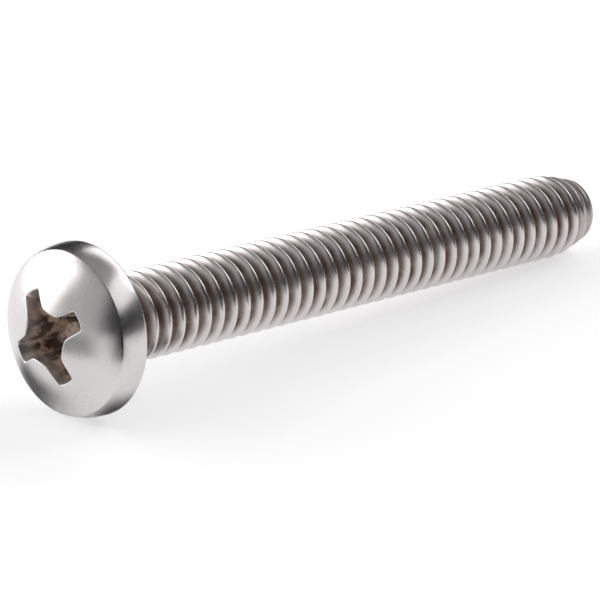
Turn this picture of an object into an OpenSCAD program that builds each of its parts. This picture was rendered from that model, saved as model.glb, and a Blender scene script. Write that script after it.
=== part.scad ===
// Pan head machine screw with a cross recess, 1/4-20 by 2 in, right-hand thread.
// It is one piece of steel wire: the head is upset cold, the recess is punched and the thread is rolled.
// The origin is the centre of the bearing face under the head, and +Z is up.
// The screw lies as it comes to rest, on the rim of its head and the last full thread, tip towards +X.
// The shank is drawn to the crests of the thread, as a plain cylinder.

/* [Head] */
// Diameter of the head at its widest, just above the bearing face
head_dia = 12.15; // [9.5:0.05:15]
// Height of the head, from the bearing face to the top of the dome
head_height = 4.15; // [3.4:0.05:5.2]
// Height of the side, where it turns into the dome
side_height = 2.1; // [1.5:0.05:2.6]
// How far the side has drawn in where it meets the dome
side_draw = 0.32; // [0.1:0.02:0.6]
// Radius of the corner between the side and the dome
shoulder_radius = 0.25; // [0.1:0.05:0.8]
// Radius of the rim, between the bearing face and the side
rim_radius = 0.25; // [0.1:0.05:0.5]

/* [Cross recess] */
// Diameter across the wings at the surface of the dome
recess_dia = 6.7; // [5.5:0.1:8.2]
// Diameter across the wings at the foot of their sloping ends
recess_foot_dia = 3.8; // [2.8:0.1:4.6]
// Width of a wing at its foot
wing_width = 0.85; // [0.6:0.05:1.1]
// Width across the core flats at their foot
core_width = 2.9; // [2.2:0.05:3.4]
// Slope of the wing ends, in degrees from the axis
wing_end_slope = 26.5; // [22:0.5:32]
// Draft of the sides of a wing, in degrees
wing_draft = 5.75; // [3:0.25:8]
// Draft of the core flats, in degrees
core_draft = 5.75; // [3:0.25:8]
// Slope of the conical floor, in degrees from the bearing face
floor_slope = 28; // [15:1:32]
// Turn of the recess about the axis, in degrees from a wing that points straight up
recess_turn = 33; // [-45:1:45]

/* [Shank] */
// Diameter over the crests of the thread
thread_dia = 6.3; // [5.2:0.05:7.6]
// Length from the bearing face to the tip
shank_length = 50.8; // [16:0.2:80]
// Diameter of the plain neck under the head, which is the wire before rolling
neck_dia = 5.45; // [4.4:0.05:6.5]
// Length of the plain neck under the head
neck_length = 1.1; // [0.6:0.05:2]
// Radius of the fillet between the neck and the bearing face
neck_fillet = 0.45; // [0.2:0.05:0.6]
// Length of the slope where the neck rises to the thread crests
runout_length = 0.6; // [0.3:0.05:1.2]
// Diameter of the flat at the tip
tip_dia = 4.8; // [3.2:0.05:5.1]
// Length of the taper at the tip
tip_taper = 2.8; // [1:0.1:4]

/* [Hidden] */
$fn = 96;

head_r = head_dia / 2;
thread_r = thread_dia / 2;
neck_r = neck_dia / 2;
tip_r = tip_dia / 2;
mouth_r = recess_dia / 2;
foot_r = recess_foot_dia / 2;

// The dome is a sphere through the top of the side and the top of the head
edge_r = head_r - side_draw;
dome_rise = head_height - side_height;
dome_radius = (edge_r * edge_r + dome_rise * dome_rise) / (2 * dome_rise);
dome_center = [0, head_height - dome_radius];

// The side is an arc that stands upright at the rim and leans in by side_draw at its top
side_rise = side_height - rim_radius;
side_radius = (side_rise * side_rise + side_draw * side_draw) / (2 * side_draw);
side_center = [head_r - side_radius, rim_radius];

// The shoulder arc touches the side and the dome from inside, so its centre is where two circles cross
reach_dome = dome_radius - shoulder_radius;
reach_side = side_radius - shoulder_radius;
between = side_center - dome_center;
apart = norm(between);
along = (reach_dome * reach_dome - reach_side * reach_side + apart * apart) / (2 * apart);
across = sqrt(reach_dome * reach_dome - along * along);
toward = between / apart;
shoulder_center = dome_center + along * toward + across * [toward[1], -toward[0]];
shoulder_low = touch_point(side_center, shoulder_center, side_radius);
shoulder_high = touch_point(dome_center, shoulder_center, dome_radius);

// The wing ends meet the dome at mouth_r, and slope in to foot_r
mouth_z = dome_center[1] + sqrt(dome_radius * dome_radius - mouth_r * mouth_r);
foot_z = mouth_z - (mouth_r - foot_r) / tan(wing_end_slope);
floor_z = foot_z - foot_r * tan(floor_slope);
above_z = head_height + 1;

// Lying down, the floor touches the rim of the head and the last full thread
crest_end = shank_length - tip_taper;
rim_to_end = [crest_end + rim_radius, head_r - rim_radius - thread_r];
lie_tilt = atan(rim_to_end[1] / rim_to_end[0]) + asin(rim_radius / norm(rim_to_end));

// Where a circle about center, through the point seen past inner, leaves its centre by radius
function touch_point(center, inner, radius) = center + radius * (inner - center) / norm(inner - center);

// Pie slice of the shoulder circle, between its two touching points
module shoulder_slice() {
    low_ray = shoulder_low - shoulder_center;
    high_ray = shoulder_high - shoulder_center;
    intersection() {
        translate(shoulder_center)
            circle(r = shoulder_radius);
        translate(shoulder_center)
            polygon([[0, 0], 2 * low_ray, 3 * (low_ray + high_ray), 2 * high_ray]);
    }
}

// Half section of the head, with the axis at the left and the bearing face at the bottom
module head_section() {
    square([head_r - rim_radius, rim_radius]);
    intersection() {
        translate([head_r - rim_radius, rim_radius])
            circle(r = rim_radius);
        translate([head_r - rim_radius, 0])
            square(rim_radius);
    }
    translate([0, rim_radius])
        square([shoulder_low[0], shoulder_low[1] - rim_radius]);
    intersection() {
        translate(side_center)
            circle(r = side_radius);
        translate([shoulder_low[0], rim_radius])
            square([side_draw, shoulder_low[1] - rim_radius]);
    }
    shoulder_slice();
    polygon([
        [0, shoulder_low[1]],
        shoulder_low,
        shoulder_center,
        shoulder_high,
        [0, shoulder_high[1]]
    ]);
    intersection() {
        translate(dome_center)
            circle(r = dome_radius);
        translate([0, shoulder_high[1]])
            square([head_r, head_height]);
    }
}

// Half section of the neck, the threaded length and the tapered tip, hanging from inside the head
module shank_section() {
    polygon([
        [0, rim_radius],
        [neck_r, rim_radius],
        [neck_r, -neck_length],
        [thread_r, -neck_length - runout_length],
        [thread_r, -crest_end],
        [tip_r, -shank_length],
        [0, -shank_length]
    ]);
    difference() {
        translate([neck_r, -neck_fillet])
            square(neck_fillet);
        translate([neck_r + neck_fillet, -neck_fillet])
            circle(r = neck_fillet);
    }
}

// Slot with drafted sides, foot_width wide at the height of the wings' feet
module drafted_slot(foot_width, draft) {
    low_half = foot_width / 2 - (foot_z - floor_z) * tan(draft);
    high_half = foot_width / 2 + (above_z - foot_z) * tan(draft);
    rotate([90, 0, 0])
        linear_extrude(height = head_dia, center = true)
            polygon([
                [-low_half, floor_z],
                [low_half, floor_z],
                [high_half, above_z],
                [-high_half, above_z]
            ]);
}

// Four wings and the square core between them, inside the cone that their ends lie on
module cross_recess() {
    above_r = mouth_r + (above_z - mouth_z) * tan(wing_end_slope);
    intersection() {
        rotate_extrude()
            polygon([[0, floor_z], [foot_r, foot_z], [above_r, above_z], [0, above_z]]);
        union() {
            for (turn = [0, 90])
                rotate(turn)
                    drafted_slot(wing_width, wing_draft);
            intersection_for (turn = [45, -45])
                rotate(turn)
                    drafted_slot(core_width, core_draft);
        }
    }
}

// The whole screw, laid down with its tip towards +X
module machine_screw() {
    color([0.74, 0.73, 0.72])
        rotate([0, lie_tilt - 90, 0])
            difference() {
                union() {
                    rotate_extrude()
                        head_section();
                    rotate_extrude()
                        shank_section();
                }
                rotate(recess_turn)
                    cross_recess();
            }
}

machine_screw();
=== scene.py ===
# Pan head machine screw, 1/4-20 by 2 in, with a cross recess and a right-hand thread.
# It lies on the rim of its head and its last full thread, tip towards +X. Shapes are worked out in
# millimetres on the screw's own axis, head up and bearing face at 0, then laid down and written in metres.
import math

import bpy
import numpy as np
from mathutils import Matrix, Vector


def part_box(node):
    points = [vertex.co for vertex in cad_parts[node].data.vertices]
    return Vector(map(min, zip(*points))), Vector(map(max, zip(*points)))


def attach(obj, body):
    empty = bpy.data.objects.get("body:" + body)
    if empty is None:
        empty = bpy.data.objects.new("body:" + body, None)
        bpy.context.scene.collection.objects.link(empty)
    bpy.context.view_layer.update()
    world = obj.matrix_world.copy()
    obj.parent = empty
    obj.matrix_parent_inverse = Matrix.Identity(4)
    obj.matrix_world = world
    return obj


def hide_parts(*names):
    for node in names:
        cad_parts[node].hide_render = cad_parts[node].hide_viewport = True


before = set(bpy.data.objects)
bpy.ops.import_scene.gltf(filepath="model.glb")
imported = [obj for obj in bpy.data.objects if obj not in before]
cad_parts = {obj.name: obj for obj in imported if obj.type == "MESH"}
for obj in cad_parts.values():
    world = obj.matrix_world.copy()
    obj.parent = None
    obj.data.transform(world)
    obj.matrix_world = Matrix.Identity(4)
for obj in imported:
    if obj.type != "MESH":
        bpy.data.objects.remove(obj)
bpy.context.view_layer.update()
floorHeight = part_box("machine_screw")[0].z
metresPerMm = 0.001
print("frame loaded, lowest point", round(floorHeight / metresPerMm, 3), "mm")

# Lengths in mm and angles in degrees. Everything down to tipTaper is as the solid has it
screw = {
    "headDia": 12.15,
    "headHeight": 4.15,
    "sideHeight": 2.1,
    "sideDraw": 0.32,
    "shoulderRadius": 0.25,
    "rimRadius": 0.25,
    "recessDia": 6.7,
    "footDia": 3.8,
    "wingWidth": 0.85,
    "coreWidth": 2.9,
    "endSlope": 26.5,
    "wingDraft": 5.75,
    "coreDraft": 5.75,
    "floorSlope": 28.0,
    "recessTurn": 33.0,
    "threadDia": 6.3,
    "shankLength": 50.8,
    "neckDia": 5.45,
    "neckLength": 1.1,
    "neckFillet": 0.45,
    "tipDia": 4.8,
    "tipTaper": 2.8,
    "pitch": 1.27,
    "threadStart": 0.8718,  # where a crest crosses the top line, from the bearing face
    "fadeIn": 1.5,  # length over which the thread rises out of the neck
    "crestCrown": 0.012,  # how far a crest falls from its middle to its edges
    "crestSoftness": 0.09,  # rounding where the cone of the tip cuts the crests
    "tipEdge": 0.16,
    "tipDish": 0.32,  # depth of the hollow that rolling leaves in the end
    "tipDarkening": 0.45,  # the tip is drawn as dark and rough as a valley this share of the thread deep
    "cornerSoftness": 0.28,  # rounding of the recess's upright corners
    "mouthRadius": 0.11,  # rolled edge round the mouth of the recess
    "footRadius": 0.14,
    "columns": 144,  # points round the axis, a multiple of 8
}

columns = screw["columns"]
headR = screw["headDia"] / 2
threadR = screw["threadDia"] / 2
neckR = screw["neckDia"] / 2
tipR = screw["tipDia"] / 2
mouthR = screw["recessDia"] / 2
footR = screw["footDia"] / 2
crestEnd = screw["shankLength"] - screw["tipTaper"]
quarter = math.pi / 2

# A 60 degree thread, its height, the radius of its root and half the width of its crest in pitches
flankAngle = math.radians(30)
threadHeight = 0.6134
rootArc = 0.1443
halfCrest = 1 / 16

# The dome is a sphere through the top of the side and the top of the head
edgeR = headR - screw["sideDraw"]
domeRise = screw["headHeight"] - screw["sideHeight"]
domeRadius = (edgeR**2 + domeRise**2) / (2 * domeRise)
domeCenter = np.array([0, screw["headHeight"] - domeRadius])

# The side is an arc, upright at the rim and leaning in by sideDraw at its top
sideRise = screw["sideHeight"] - screw["rimRadius"]
sideRadius = (sideRise**2 + screw["sideDraw"]**2) / (2 * screw["sideDraw"])
sideCenter = np.array([headR - sideRadius, screw["rimRadius"]])

# The shoulder arc touches the side and the dome from inside, so its centre is where two circles cross
reachDome = domeRadius - screw["shoulderRadius"]
reachSide = sideRadius - screw["shoulderRadius"]
between = sideCenter - domeCenter
apart = np.linalg.norm(between)
along = (reachDome**2 - reachSide**2 + apart**2) / (2 * apart)
across = math.sqrt(reachDome**2 - along**2)
toward = between / apart
shoulderCenter = domeCenter + along * toward + across * np.array([toward[1], -toward[0]])


def touchPoint(center, inner, radius):
    # Where a circle about center is touched by one inside it about inner
    return center + radius * (inner - center) / np.linalg.norm(inner - center)


shoulderLow = touchPoint(sideCenter, shoulderCenter, sideRadius)
shoulderHigh = touchPoint(domeCenter, shoulderCenter, domeRadius)

# Heights in the recess
floorRise = math.tan(math.radians(screw["floorSlope"]))
mouthZ = domeCenter[1] + math.sqrt(domeRadius**2 - mouthR**2)
footZ = mouthZ - (mouthR - footR) / math.tan(math.radians(screw["endSlope"]))
floorZ = footZ - footR * floorRise

# Lying down, the floor touches the rim of the head and the last full thread
rimToEnd = np.array([crestEnd + screw["rimRadius"], headR - screw["rimRadius"] - threadR])
lieTilt = math.atan(rimToEnd[1] / rimToEnd[0]) + math.asin(screw["rimRadius"] / np.linalg.norm(rimToEnd))


def softMin(a, b, softness):
    # The smaller of two values, with a round bend where they meet
    return 0.5 * (a + b - np.sqrt((a - b) ** 2 + softness**2))


def softMax(a, b, softness):
    # The larger of two values, with a round bend where they meet
    return 0.5 * (a + b + np.sqrt((a - b) ** 2 + softness**2))


def smoothStep(t):
    # 0 below 0, 1 above 1, and 3t2 - 2t3 between
    t = np.clip(t, 0, 1)
    return t * t * (3 - 2 * t)


def arcPoints(center, radius, start, end, count):
    # Points (radius from the axis, height) on a circle about center, at equal angles from start to end
    angle = np.linspace(start, end, count)
    return np.stack([center[0] + radius * np.cos(angle), center[1] + radius * np.sin(angle)], axis=1)


def bearing(center, point):
    # Angle at which a point of the section stands about a centre
    return math.atan2(point[1] - center[1], point[0] - center[0])


def domeHeight(radius):
    # Height of the dome's sphere at a distance from the axis
    return domeCenter[1] + np.sqrt(domeRadius**2 - radius**2)


def onSphere(x, y):
    # Points of the dome over x and y
    return np.stack([x, y, domeHeight(np.hypot(x, y))], axis=-1)


def polar(radius, angle, height):
    # Points at a radius, an angle and a height, as x, y and z on the screw's own axis
    radius, angle, height = np.broadcast_arrays(radius, angle, height)
    return np.stack([radius * np.cos(angle), radius * np.sin(angle), height], axis=-1)


def bend(first, corner, last, count):
    # A parabola from first to last that leaves both along the lines to corner
    t = np.linspace(0, 1, count)[:, None, None]
    return (1 - t) ** 2 * first + 2 * t * (1 - t) * corner + t**2 * last


def crossReach(angle, height):
    # How far the recess reaches from the axis at an angle and a height. A wing reaches to the cone of its end
    # between two drafted sides, the core reaches to its flat, and the further of the two counts.
    fromWing = np.abs((angle + quarter / 2) % quarter - quarter / 2)
    above = height - footZ
    halfWing = screw["wingWidth"] / 2 + above * math.tan(math.radians(screw["wingDraft"]))
    halfCore = screw["coreWidth"] / 2 + above * math.tan(math.radians(screw["coreDraft"]))
    endReach = footR + above * math.tan(math.radians(screw["endSlope"]))
    noZero = 0.002  # on the centre line itself, a wing's side would be endlessly far
    sideReach = halfWing / np.sin(np.maximum(fromWing, noZero))
    flatReach = halfCore / np.cos(quarter / 2 - fromWing)
    wingReach = softMin(sideReach, endReach, screw["cornerSoftness"])
    return softMax(wingReach, flatReach, screw["cornerSoftness"])


def recessAndDome(angle):
    # The surface from the floor's centre out to the shoulder. Its columns crowd together at the corners of
    # the cross and spread to equal angles over the dome. Rows run out along the floor, up the walls, over the
    # rolled edge of the mouth and across the dome's sphere. Gives the rows, and how deep in the recess each
    # one is.
    perWing = columns // 4
    step = np.arange(columns) % perWing / perWing
    half = 1 - np.abs(2 * step - 1)  # 0 on a wing's centre line, 1 between two wings
    shares = [0, 0.2, 0.55, 0.86, 1]
    degreesThere = [0, 8, 16, 28, 45]  # from the wing's centre line, at those shares of half
    spread = np.radians(np.interp(half, shares, degreesThere))
    inQuarter = np.where(step < 0.5, spread, quarter - spread)
    crossAngle = inQuarter + (np.arange(columns) // perWing) * quarter
    turned = crossAngle + angle[0]

    solveRounds = 12
    footJoin = np.full(columns, floorZ)
    for _ in range(solveRounds):  # the floor's cone meets the wall where both have one radius
        reach = np.minimum(crossReach(crossAngle, footJoin), footR)
        footJoin = floorZ + reach * floorRise
    mouthJoin = np.full(columns, mouthZ)
    for _ in range(solveRounds):  # and the wall meets the dome where both have one height
        mouthJoin = domeHeight(crossReach(crossAngle, mouthJoin))

    def wall(height):
        return polar(crossReach(crossAngle, height), turned, height)

    foot = screw["footRadius"]
    mouth = screw["mouthRadius"]
    floorShares = np.array([0, 0.18, 0.38, 0.58, 0.78, 0.93])[:, None]
    floorEnd = reach - foot
    floorSurface = polar(floorShares * floorEnd, turned, floorZ + floorShares * floorEnd * floorRise)
    floorLast = polar(floorEnd, turned, floorZ + floorEnd * floorRise)
    footBend = bend(floorLast, polar(reach, turned, footJoin), wall(footJoin + foot), count=5)
    low, high = footJoin + foot, mouthJoin - mouth
    wallSteps = np.linspace(0, 1, 9)[1:-1, None]
    wallSurface = wall(low + wallSteps * (high - low))

    rim = wall(mouthJoin)
    tangent = np.roll(rim, -1, axis=0) - np.roll(rim, 1, axis=0)
    outward = np.stack([tangent[:, 1], -tangent[:, 0]], axis=1)
    outward /= np.linalg.norm(outward, axis=1, keepdims=True)
    start = rim[:, :2] + mouth * outward
    mouthBend = bend(wall(high), rim, onSphere(start[:, 0], start[:, 1]), count=6)

    end = shoulderHigh[0] * np.stack([np.cos(angle), np.sin(angle)], axis=1)
    crowding = 1.2  # above 1, rows are closer near the mouth
    part = np.linspace(0, 1, 16)[1:, None, None] ** crowding
    flat = start + part * (end - start)
    domeSurface = onSphere(flat[..., 0], flat[..., 1])
    rows = np.concatenate([floorSurface, footBend, wallSurface, mouthBend, domeSurface])
    wallTop, mouthLow = 0.25, 0.2  # the depth falls to these at the top of the wall and on the rolled edge
    depth = np.concatenate([
        np.ones(len(floorSurface) + len(footBend)),
        np.linspace(1, wallTop, len(wallSurface) + 1)[1:],
        np.linspace(mouthLow, 0, len(mouthBend)),
        np.zeros(len(domeSurface)),
    ])
    return rows, depth


def turnedHead(angle):
    # Rows round the axis from the shoulder to the neck: shoulder arc, side arc, rim arc, flat bearing face
    # and the fillet of the neck
    rimR = screw["rimRadius"]
    filletR = screw["neckFillet"]
    shoulder = arcPoints(
        shoulderCenter, screw["shoulderRadius"],
        bearing(shoulderCenter, shoulderHigh), bearing(shoulderCenter, shoulderLow), count=9)
    side = arcPoints(sideCenter, sideRadius, bearing(sideCenter, shoulderLow), 0, count=7)
    rim = arcPoints((headR - rimR, rimR), rimR, 0, -quarter, count=7)
    face = np.linspace(headR - rimR, neckR + filletR, 6)
    face = np.stack([face, np.zeros(len(face))], axis=1)
    fillet = arcPoints((neckR + filletR, -filletR), filletR, quarter, 2 * quarter, count=6)
    profile = np.concatenate([shoulder[1:], side[1:], rim[1:], face[1:], fillet[1:]])
    return polar(profile[:, :1], angle, profile[:, 1:])


def threadDepth(turns):
    # Depth below the crests, in mm, at a distance from the nearest crest in turns of the helix. The crest is
    # slightly crowned, the flanks stand at 60 degrees to each other, and the root is an arc that touches
    # both of them.
    pitch = screw["pitch"]
    fromCrest = pitch * np.abs((turns + 0.5) % 1 - 0.5)
    fromRoot = pitch / 2 - fromCrest
    rootRadius = rootArc * pitch
    flank = (fromCrest - halfCrest * pitch) / math.tan(flankAngle)
    root = threadHeight * pitch - rootRadius + np.sqrt(np.maximum(rootRadius**2 - fromRoot**2, 0))
    inRoot = fromRoot < rootRadius * math.cos(flankAngle)
    depth = np.where(inRoot, root, np.maximum(flank, 0))
    return depth + screw["crestCrown"] * np.minimum(fromCrest / (halfCrest * pitch), 1) ** 2


def crestLimit(down):
    # Radius that the crests cannot pass, at a distance down the shank: the thread's, then the cone of the tip
    return threadR - np.maximum(down - crestEnd, 0) * (threadR - tipR) / screw["tipTaper"]


def threadRadius(turns, down):
    # Radius of the thread at its place in the turn and its distance down the shank. It rises out of the neck.
    # At the cone of the tip it is rounded off, and this sets in a little before the cone starts.
    early, spare = 0.5, 0.02
    full = threadR - threadDepth(turns)
    cone = crestLimit(down)
    rounded = softMin(full, cone + spare, screw["crestSoftness"])
    share = smoothStep((down - crestEnd) / early + 1)
    cut = np.minimum(full + share * (rounded - full), cone)
    rise = smoothStep((down - screw["neckLength"]) / screw["fadeIn"])
    return neckR + (cut - neckR) * rise


def threadedShank(angle, top, bottom):
    # A grid sheared along the helix: each row follows one line of the thread, so it starts a pitch lower than
    # it ends, and the last column joins the first one turn up. Rows that run past top or bottom are cut to a
    # ring there. Gives the points, how deep in a valley each is, which row it is cut to, and how many rows a
    # turn has. The places of those rows run from one crest, at 0, down to the next, at 1.
    places = np.array([0, 0.045, 0.073, 0.17, 0.27, 0.36, 0.42, 0.5, 0.58, 0.64, 0.73, 0.83, 0.927, 0.955])
    pitch = screw["pitch"]
    crest = screw["threadStart"] - pitch * angle / (2 * math.pi)
    first = math.floor((top - crest[0]) / pitch)
    last = math.ceil((bottom - crest[0]) / pitch) + 1
    turns = (np.arange(first, last + 1)[:, None] + places).ravel()[:, None]
    down = crest + pitch * turns
    tooClose = 0.02  # a row nearer than this to the ring is cut to it, so that no sliver is left
    isAbove = down < top + tooClose
    isBelow = down > bottom - tooClose
    down = np.where(isAbove, top, np.where(isBelow, bottom, down))
    radius = threadRadius((down - crest) / pitch, down)
    valley = (crestLimit(down) - radius) / (threadHeight * pitch)
    # Darker towards the tip: as dark and rough as a valley tipDarkening deep
    darkerTip = screw["tipDarkening"] * smoothStep(2 * (down - crestEnd) / screw["tipTaper"])
    valley = np.maximum(valley, darkerTip)
    row = np.arange(len(turns))[:, None]
    row = np.where(isAbove, 0, np.where(isBelow, len(turns) - 1, row))
    return polar(radius, angle, -down), np.clip(valley, 0, 1), row, len(places)


def endFace(edge, angle):
    # Rows from the last ring of the thread round the edge of the tip, a quarter circle, to the centre of a
    # shallow dish
    depth = screw["shankLength"]
    rim = np.hypot(edge[:, 0], edge[:, 1])
    turn = np.linspace(0, quarter, 6)[1:, None]
    outer = rim - screw["tipEdge"] * (1 - np.cos(turn))
    outerDown = depth - screw["tipEdge"] * (1 - np.sin(turn))
    part = np.array([0.88, 0.72, 0.55, 0.38, 0.2, 0])[:, None]  # shares of the radius
    evening = 6  # how soon the rim's unevenness dies out towards the centre
    inner = part * (tipR - screw["tipEdge"]) + (rim - tipR) * part**evening
    dishShare = 0.8  # of the radius, over which the dish falls to its full depth
    innerDown = depth - screw["tipDish"] * smoothStep((1 - part) / dishShare)
    return np.concatenate([polar(outer, angle, -outerDown), polar(inner, angle, -innerDown)])


def lieDown(points):
    # Turns points about Y from the screw's own axis, head up, until the shank points along +X and slopes down
    # by lieTilt, and changes mm to metres
    x, y, z = points[:, 0], points[:, 1], points[:, 2]
    s, c = math.sin(lieTilt), math.cos(lieTilt)
    return np.stack([x * s - z * c, y, x * c + z * s], axis=1) * metresPerMm


def cellFaces(a, b, c, d):
    # Two triangles for each cell, from the point numbers at its upper and lower corners
    return np.concatenate([
        np.stack([a, c, d], axis=-1).reshape(-1, 3),
        np.stack([a, d, b], axis=-1).reshape(-1, 3),
    ])


def ringFaces(rings):
    # Triangles between each ring of point numbers and the next, the columns closing round
    closed = np.concatenate([rings, rings[:, :1]], axis=1)
    return cellFaces(closed[:-1, :-1], closed[:-1, 1:], closed[1:, :-1], closed[1:, 1:])


def buildScrew():
    # One closed skin: recess, dome, head, thread and end face in turn, each joined to the one before by its
    # last ring. Triangles that the cut rows leave with no area are dropped.
    angle = math.radians(screw["recessTurn"]) + np.arange(columns) * 2 * math.pi / columns
    recess, punched = recessAndDome(angle)
    head = turnedHead(angle)
    upper = np.concatenate([recess, head])
    punched = np.concatenate([punched, np.zeros(len(head))])
    bottom = screw["shankLength"] - screw["tipEdge"]
    thread, valley, row, rowsPerTurn = threadedShank(angle, screw["neckLength"], bottom)
    tip = endFace(thread[-1], angle)

    numbers = np.arange(len(upper) * columns).reshape(-1, columns)
    numbers[0] = 0  # the floor's centre is one point
    threadNumbers = numbers.size + row * columns + np.arange(columns)
    tipNumbers = numbers.size + threadNumbers.size + np.arange(len(tip) * columns).reshape(-1, columns)
    tipNumbers[-1] = tipNumbers[-1, 0]  # and so is the dish's

    # Past the last column, a row of the thread goes on in the row one turn up, and the first turn in the ring
    oneTurnUp = np.concatenate([
        np.repeat(threadNumbers[:1, :1], rowsPerTurn, axis=0), threadNumbers[:-rowsPerTurn, :1]])
    helix = np.concatenate([threadNumbers, oneTurnUp], axis=1)
    faces = np.concatenate([
        ringFaces(np.concatenate([numbers, threadNumbers[:1]])),
        cellFaces(helix[:-1, :-1], helix[:-1, 1:], helix[1:, :-1], helix[1:, 1:]),
        ringFaces(np.concatenate([threadNumbers[-1:], tipNumbers])),
    ])
    hasArea = (faces[:, 0] != faces[:, 1]) & (faces[:, 1] != faces[:, 2]) & (faces[:, 2] != faces[:, 0])
    used, faces = np.unique(faces[hasArea], return_inverse=True)
    points = np.concatenate([upper.reshape(-1, 3), thread.reshape(-1, 3), tip.reshape(-1, 3)])
    inRecess = np.concatenate([np.repeat(punched, columns), np.zeros(threadNumbers.size + tipNumbers.size)])
    # The end face is as dark as a valley tipDarkening deep
    inValley = np.concatenate([
        np.zeros(numbers.size), valley.ravel(), np.full(tipNumbers.size, screw["tipDarkening"])])
    return points[used], faces.reshape(-1, 3), inRecess[used], inValley[used]


def makeMesh(name, points, faces, values):
    # A smooth mesh from whole arrays, with its values kept as attributes of its points
    mesh = bpy.data.meshes.new(name)
    mesh.vertices.add(len(points))
    mesh.vertices.foreach_set("co", points.astype(np.float32).ravel())
    mesh.loops.add(faces.size)
    mesh.loops.foreach_set("vertex_index", faces.astype(np.int32).ravel())
    mesh.polygons.add(len(faces))
    mesh.polygons.foreach_set("loop_start", np.arange(0, faces.size, 3, dtype=np.int32))
    mesh.polygons.foreach_set("use_smooth", np.ones(len(faces), dtype=bool))
    for label, value in values.items():
        layer = mesh.attributes.new(label, "FLOAT", "POINT")
        layer.data.foreach_set("value", value.astype(np.float32))
    mesh.update(calc_edges=True)
    mesh.validate()
    piece = bpy.data.objects.new(name, mesh)
    bpy.context.scene.collection.objects.link(piece)
    return piece


points, faces, inRecess, inValley = buildScrew()
screwPiece = makeMesh("panHeadScrew", lieDown(points), faces, {"inRecess": inRecess, "inValley": inValley})
print("screw made,", len(points), "points and", len(faces), "triangles")

# Colours are linear, lengths in mm
steel = {
    "color": (0.69, 0.66, 0.65),
    # Brown film and painted shade in the thread's valleys, darker where the valleys are deeper
    "valleyShadeAndFilmColor": (0.21, 0.14, 0.105),
    "valleyShadeAndFilm": 0.9,  # how much of the brown film and painted shade shows, 0 to 1
    "valleyRange": (0.14, 0.72),  # shares of the thread's depth at which the film and painted shade set in and are full
    # Light tan painted highlights in the recess, with spots of painted shade over them
    "paintedRecessColor": (0.9, 0.7, 0.56),
    "recessPaintedShade": (0.075, 0.04, 0.025),  # painted shade in spots in the recess
    "paintedRecessAmount": 0.95,
    "recessRange": (0.05, 0.5),  # the same for the recess, 0 at its mouth and 1 at its floor
    "recessShadeRange": (0.4, 0.58),  # values of the dents' noise at which a spot of painted shade sets in and is full
    "recessMetal": 0.4,  # how metallic the painted recess looks, 0 to 1
    "roughness": 0.22,
    "roughnessSpread": 0.08,
    "shadeAndFilmRoughness": 0.3,  # added where there is film or painted shade
    "patchSize": 1.6,
    "patchRange": (0.7, 1.15),  # what the film and painted shade are multiplied by in their thinnest and thickest patches
    "scratchSize": 0.16,
    "scratchStretch": 0.16,  # below 1, scratches are drawn out round the axis
    "scratchDepth": 0.0008,
    "dentSize": 0.9,
    "dentDepth": 0.004,
}

# The Mix node has several sockets of each name, so its colour ones go by their numbers
mixUnder, mixOver, mixResult = 6, 7, 2


def addNode(tree, kind, settings=None, inputs=None):
    # A shader node with its settings, and its inputs set to values or linked to other sockets
    node = tree.nodes.new(kind)
    for name, value in (settings or {}).items():
        setattr(node, name, value)
    for name, value in (inputs or {}).items():
        if isinstance(value, bpy.types.NodeSocket):
            tree.links.new(value, node.inputs[name])
        else:
            node.inputs[name].default_value = value
    return node


def remap(tree, value, source, target, kind="LINEAR"):
    # A value that runs over the source range, made to run over the target range and held at its ends
    return addNode(tree, "ShaderNodeMapRange", {"interpolation_type": kind}, {
        "Value": value, "From Min": source[0], "From Max": source[1],
        "To Min": target[0], "To Max": target[1]}).outputs["Result"]


def combine(tree, operation, first, second):
    # The larger, the sum or the product of two values, held between 0 and 1
    node = addNode(tree, "ShaderNodeMath", {"operation": operation, "use_clamp": True})
    tree.links.new(first, node.inputs[0])
    tree.links.new(second, node.inputs[1])
    return node.outputs[0]


def layered(tree, under, over, amount):
    # One colour laid over another by an amount, each colour fixed or from a socket
    mix = addNode(tree, "ShaderNodeMix", {"data_type": "RGBA"}, {"Factor": amount})
    for socket, color in ((mix.inputs[mixUnder], under), (mix.inputs[mixOver], over)):
        if isinstance(color, bpy.types.NodeSocket):
            tree.links.new(color, socket)
        else:
            socket.default_value = (*color, 1)
    return mix.outputs[mixResult]


def spots(tree, place, size, detail, roughness):
    # Noise whose spots are about size mm across
    return addNode(tree, "ShaderNodeTexNoise", None, {
        "Vector": place, "Scale": 1 / (size * metresPerMm), "Detail": detail,
        "Roughness": roughness}).outputs["Fac"]


def attribute(tree, name):
    # A value that the mesh carries at its points
    return addNode(tree, "ShaderNodeAttribute", {"attribute_name": name}).outputs["Fac"]


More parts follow.
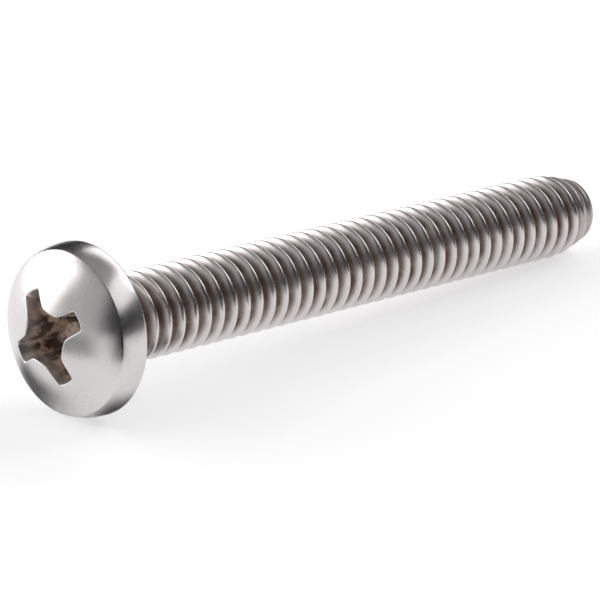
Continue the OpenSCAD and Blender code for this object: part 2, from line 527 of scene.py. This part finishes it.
def makeSteel(look):
    # Polished steel. Roughness drifts in patches, fine scratches run round the axis and the dents of tumbling
    # are wider. A brown film and painted shade darken the valleys of the thread and the tip, and in the
    # recess spots of painted shade lie over light tan painted highlights.
    material = bpy.data.materials.new("polishedSteel")
    material.use_nodes = True
    tree = material.node_tree
    shader = tree.nodes["Principled BSDF"]
    onAxis = addNode(tree, "ShaderNodeMapping", {"vector_type": "POINT"}, {
        "Vector": addNode(tree, "ShaderNodeTexCoord").outputs["Object"],
        "Rotation": (0, -lieTilt, 0)}).outputs["Vector"]
    roundAxis = addNode(tree, "ShaderNodeMapping", {"vector_type": "POINT"}, {
        "Vector": onAxis, "Scale": (1.0, look["scratchStretch"], look["scratchStretch"])}).outputs["Vector"]
    patches = spots(tree, onAxis, look["patchSize"], detail=4.0, roughness=0.6)
    scratches = spots(tree, roundAxis, look["scratchSize"], detail=3.0, roughness=0.55)
    dents = spots(tree, onAxis, look["dentSize"], detail=2.0, roughness=0.5)

    blotchNoise, dullNoise = (0.35, 0.65), (0.3, 0.7)  # values of the patches' noise that each drifts over
    blotches = remap(tree, patches, blotchNoise, look["patchRange"])
    deepValley = remap(
        tree, attribute(tree, "inValley"), look["valleyRange"], (0.0, look["valleyShadeAndFilm"]), "SMOOTHSTEP")
    deepRecess = remap(
        tree, attribute(tree, "inRecess"), look["recessRange"], (0.0, look["paintedRecessAmount"]), "SMOOTHSTEP")
    valleyShadeAndFilm = combine(tree, "MULTIPLY", deepValley, blotches)
    paintedRecessAmount = combine(tree, "MULTIPLY", deepRecess, blotches)
    # Painted shade in the recess: dark spots over light tan painted highlights, strongest deep down
    recessShadeSpots = remap(tree, dents, look["recessShadeRange"], (0.0, 1.0), "SMOOTHSTEP")
    # Painted shade with some brown film: the thread darkens towards its valley colour deep in the valleys
    threadColor = layered(tree, look["color"], look["valleyShadeAndFilmColor"], valleyShadeAndFilm)
    paintedRecessColor = layered(tree, look["paintedRecessColor"], look["recessPaintedShade"], recessShadeSpots)
    tree.links.new(layered(tree, threadColor, paintedRecessColor, paintedRecessAmount), shader.inputs["Base Color"])
    metal = remap(tree, paintedRecessAmount, (0.0, 1.0), (1.0, look["recessMetal"]))
    tree.links.new(metal, shader.inputs["Metallic"])

    roughest = look["roughness"] + look["roughnessSpread"]
    drift = remap(tree, patches, dullNoise, (look["roughness"], roughest))
    anyShadeOrFilm = combine(tree, "MAXIMUM", valleyShadeAndFilm, paintedRecessAmount)
    dull = remap(tree, anyShadeOrFilm, (0.0, 1.0), (0.0, look["shadeAndFilmRoughness"]))
    tree.links.new(combine(tree, "ADD", drift, dull), shader.inputs["Roughness"])

    dentBump = addNode(tree, "ShaderNodeBump", None, {
        "Height": dents, "Strength": 1.0, "Distance": look["dentDepth"] * metresPerMm})
    scratchBump = addNode(tree, "ShaderNodeBump", None, {
        "Height": scratches, "Strength": 1.0, "Distance": look["scratchDepth"] * metresPerMm,
        "Normal": dentBump.outputs["Normal"]})
    tree.links.new(scratchBump.outputs["Normal"], shader.inputs["Normal"])
    return material


screwPiece.data.materials.append(makeSteel(steel))
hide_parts("machine_screw")
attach(screwPiece, "root")
print("steel on")

# The floor and what is round the screw. Sizes and distances are in metres, directions in degrees
studio = {
    "floorSize": 6.0,
    "floorColor": (0.8, 0.8, 0.805),
    "floorRoughness": 0.7,
    "floorShine": 0.2,
    "floorGlow": 0.66,  # the floor is a lit table, so that shadows stay faint
    "skyTop": (0.32, 0.32, 0.325),
    "skyBand": (0.03, 0.03, 0.034),
    "bandRange": (0.58, 1.0),  # heights, as the sine of the elevation, between which the dark band fades
    "lamps": {
        "backSoftbox": {"azimuth": 114, "elevation": 24, "distance": 0.6, "size": (0.72, 0.52), "glow": 2.0},
        "leftFill": {"azimuth": 170, "elevation": 22, "distance": 0.6, "size": (0.5, 0.56), "glow": 0.46},
        "rightSoftbox": {"azimuth": 308, "elevation": 47, "distance": 0.6, "size": (0.6, 0.3), "glow": 1.1},
        "rearSoftbox": {"azimuth": 8, "elevation": 38, "distance": 0.6, "size": (0.66, 0.28), "glow": 1.8},
    },
    # Painted reflections: dim cards that only the metal's reflections see. Walls stand in an arc round the
    # head, mats lie on the floor as painted contact shadow in those reflections, and soft is the share of a
    # side over which a card fades out
    "walls": {
        "frontCard": {"from": 140, "to": 215, "radius": 0.017, "top": 0.002, "soft": 0.35, "glow": 0.3},
        "edgeCard": {"from": 213, "to": 279, "radius": 0.017, "top": 0.004, "soft": 0.2, "glow": 0.0},
    },
    "mats": {
        "leftShadowMat": {"low": (-0.0065, -0.0025), "high": (0.001, 0.014), "soft": 0.4, "glow": 0.12},
        "rimShadowMat": {"low": (-0.003, -0.0065), "high": (0.0035, 0.0015), "soft": 0.4, "glow": 0.08},
    },
    "cardColor": (0.98, 0.98, 1),
    "headX": -0.002,  # where the head's middle stands along x
    "cardGap": 1e-5,  # how far the cards stay off the floor
    "cardSteps": 25,
}


def towards(azimuth, elevation, distance):
    # A point at that distance from the origin, azimuth counted from +X towards +Y
    a, e = math.radians(azimuth), math.radians(elevation)
    return Vector((math.cos(a) * math.cos(e), math.sin(a) * math.cos(e), math.sin(e))) * distance


def makeFloor(look):
    # A square under the screw, of four corner points at the height of its lowest point
    half = look["floorSize"] / 2
    x, y = np.meshgrid([-half, half], [-half, half])
    corners = np.stack([x.ravel(), y.ravel(), np.full(4, floorHeight)], axis=1)
    floor = makeMesh("floor", corners, np.array([[0, 1, 3], [0, 3, 2]]), {})
    material = bpy.data.materials.new("palePaper")
    material.use_nodes = True
    shader = material.node_tree.nodes["Principled BSDF"]
    shader.inputs["Base Color"].default_value = (*look["floorColor"], 1)
    shader.inputs["Roughness"].default_value = look["floorRoughness"]
    shader.inputs["Specular IOR Level"].default_value = look["floorShine"]
    shader.inputs["Emission Color"].default_value = (*look["floorColor"], 1)
    shader.inputs["Emission Strength"].default_value = look["floorGlow"]
    floor.data.materials.append(material)


def makeCard(name, points, fade, glow, look):
    # A painted reflection: a dim sheet that shows in reflections and nowhere else, from a grid of points with
    # their opacity
    rows, steps = points.shape[:2]
    number = np.arange(rows * steps).reshape(rows, steps)
    faces = cellFaces(number[:-1, :-1], number[:-1, 1:], number[1:, :-1], number[1:, 1:])
    card = makeMesh(name, points.reshape(-1, 3), faces, {"fade": fade.ravel()})
    material = bpy.data.materials.new(name)
    material.use_nodes = True
    tree = material.node_tree
    shader = tree.nodes["Principled BSDF"]
    shader.inputs["Base Color"].default_value = (0, 0, 0, 1)
    shader.inputs["Specular IOR Level"].default_value = 0
    shader.inputs["Emission Color"].default_value = (*look["cardColor"], 1)
    shader.inputs["Emission Strength"].default_value = glow
    tree.links.new(attribute(tree, "fade"), shader.inputs["Alpha"])
    card.data.materials.append(material)
    card.visible_camera = False
    card.visible_diffuse = False
    card.visible_shadow = False


def fadeOut(part, soft):
    # 1 in the middle of a side, falling smoothly to 0 over the soft share at each of its ends
    return smoothStep(np.minimum(part, 1 - part) / soft)


def makeWall(name, wall, look):
    # An arc of a cylinder about the head, from the floor up to its top, where it fades as it does at its ends
    part = np.linspace(0, 1, look["cardSteps"])
    angle = np.radians(wall["from"] + part * (wall["to"] - wall["from"]))
    low = floorHeight + look["cardGap"]
    height = low + part[:, None] * (wall["top"] - low)
    arc = polar(wall["radius"], angle, height) + np.array([look["headX"], 0, 0])
    upward = smoothStep((1 - part) / wall["soft"])
    makeCard(name, arc, upward[:, None] * fadeOut(part, wall["soft"]), wall["glow"], look)


def makeMat(name, mat, look):
    # A rectangle just over the floor, fading on all sides: painted contact shadow that only reflections see
    part = np.linspace(0, 1, look["cardSteps"])
    x = mat["low"][0] + part[:, None] * (mat["high"][0] - mat["low"][0])
    y = mat["low"][1] + part * (mat["high"][1] - mat["low"][1])
    x, y = np.broadcast_arrays(x, y)
    flat = np.stack([x, y, np.full(x.shape, floorHeight + look["cardGap"])], axis=-1)
    fade = fadeOut(part, mat["soft"])
    makeCard(name, flat, fade[:, None] * fade, mat["glow"], look)


def makeSky(look):
    # A studio with a dark band near the horizon that turns pale towards the top
    world = bpy.data.worlds.new("studio")
    bpy.context.scene.world = world
    world.use_nodes = True
    tree = world.node_tree
    way = addNode(tree, "ShaderNodeTexCoord").outputs["Generated"]
    height = addNode(tree, "ShaderNodeSeparateXYZ", None, {"Vector": way}).outputs["Z"]
    pale = remap(tree, height, look["bandRange"], (0.0, 1.0), "SMOOTHSTEP")
    color = layered(tree, look["skyBand"], look["skyTop"], pale)
    tree.links.new(color, tree.nodes["Background"].inputs["Color"])


def makeLamps(look):
    # Rectangles of light that face the origin. Power is glow times pi times area, so glow is how bright each
    # one looks, whatever its size.
    for name, lamp in look["lamps"].items():
        light = bpy.data.lights.new(name, "AREA")
        light.shape = "RECTANGLE"
        light.size, light.size_y = lamp["size"]
        light.energy = lamp["glow"] * math.pi * light.size * light.size_y
        holder = bpy.data.objects.new(name, light)
        holder.location = towards(lamp["azimuth"], lamp["elevation"], lamp["distance"])
        holder.rotation_euler = (-holder.location).to_track_quat("-Z", "Y").to_euler()
        bpy.context.scene.collection.objects.link(holder)


makeFloor(studio)
for cardName, card in studio["walls"].items():
    makeWall(cardName, card, studio)
for cardName, card in studio["mats"].items():
    makeMat(cardName, card, studio)
makeSky(studio)
makeLamps(studio)
bpy.context.scene.view_settings.view_transform = "Standard"
print("studio lit")

# Distances in metres, lens and frame in mm, angles in degrees
view = {
    "aim": (0.022583, 0.001693, -0.003920),
    "azimuth": 224.107,  # where the camera stands, from +X towards +Y
    "elevation": 18.80,
    "distance": 0.28230,
    "lens": 233.23,
    "frameWidth": 36,
    "nearest": 0.01,
    "furthest": 20.0,
}


def makeCamera(look):
    # Stands back from its aim along a direction, and looks at the aim with the horizon level
    camera = bpy.data.cameras.new("camera")
    camera.lens = look["lens"]
    camera.sensor_width = look["frameWidth"]
    camera.clip_start = look["nearest"]
    camera.clip_end = look["furthest"]
    holder = bpy.data.objects.new("camera", camera)
    back = towards(look["azimuth"], look["elevation"], look["distance"])
    holder.location = Vector(look["aim"]) + back
    holder.rotation_euler = (-back).to_track_quat("-Z", "Y").to_euler()
    bpy.context.scene.collection.objects.link(holder)
    bpy.context.scene.camera = holder


makeCamera(view)
print("camera set")

bpy.context.view_layer.update()
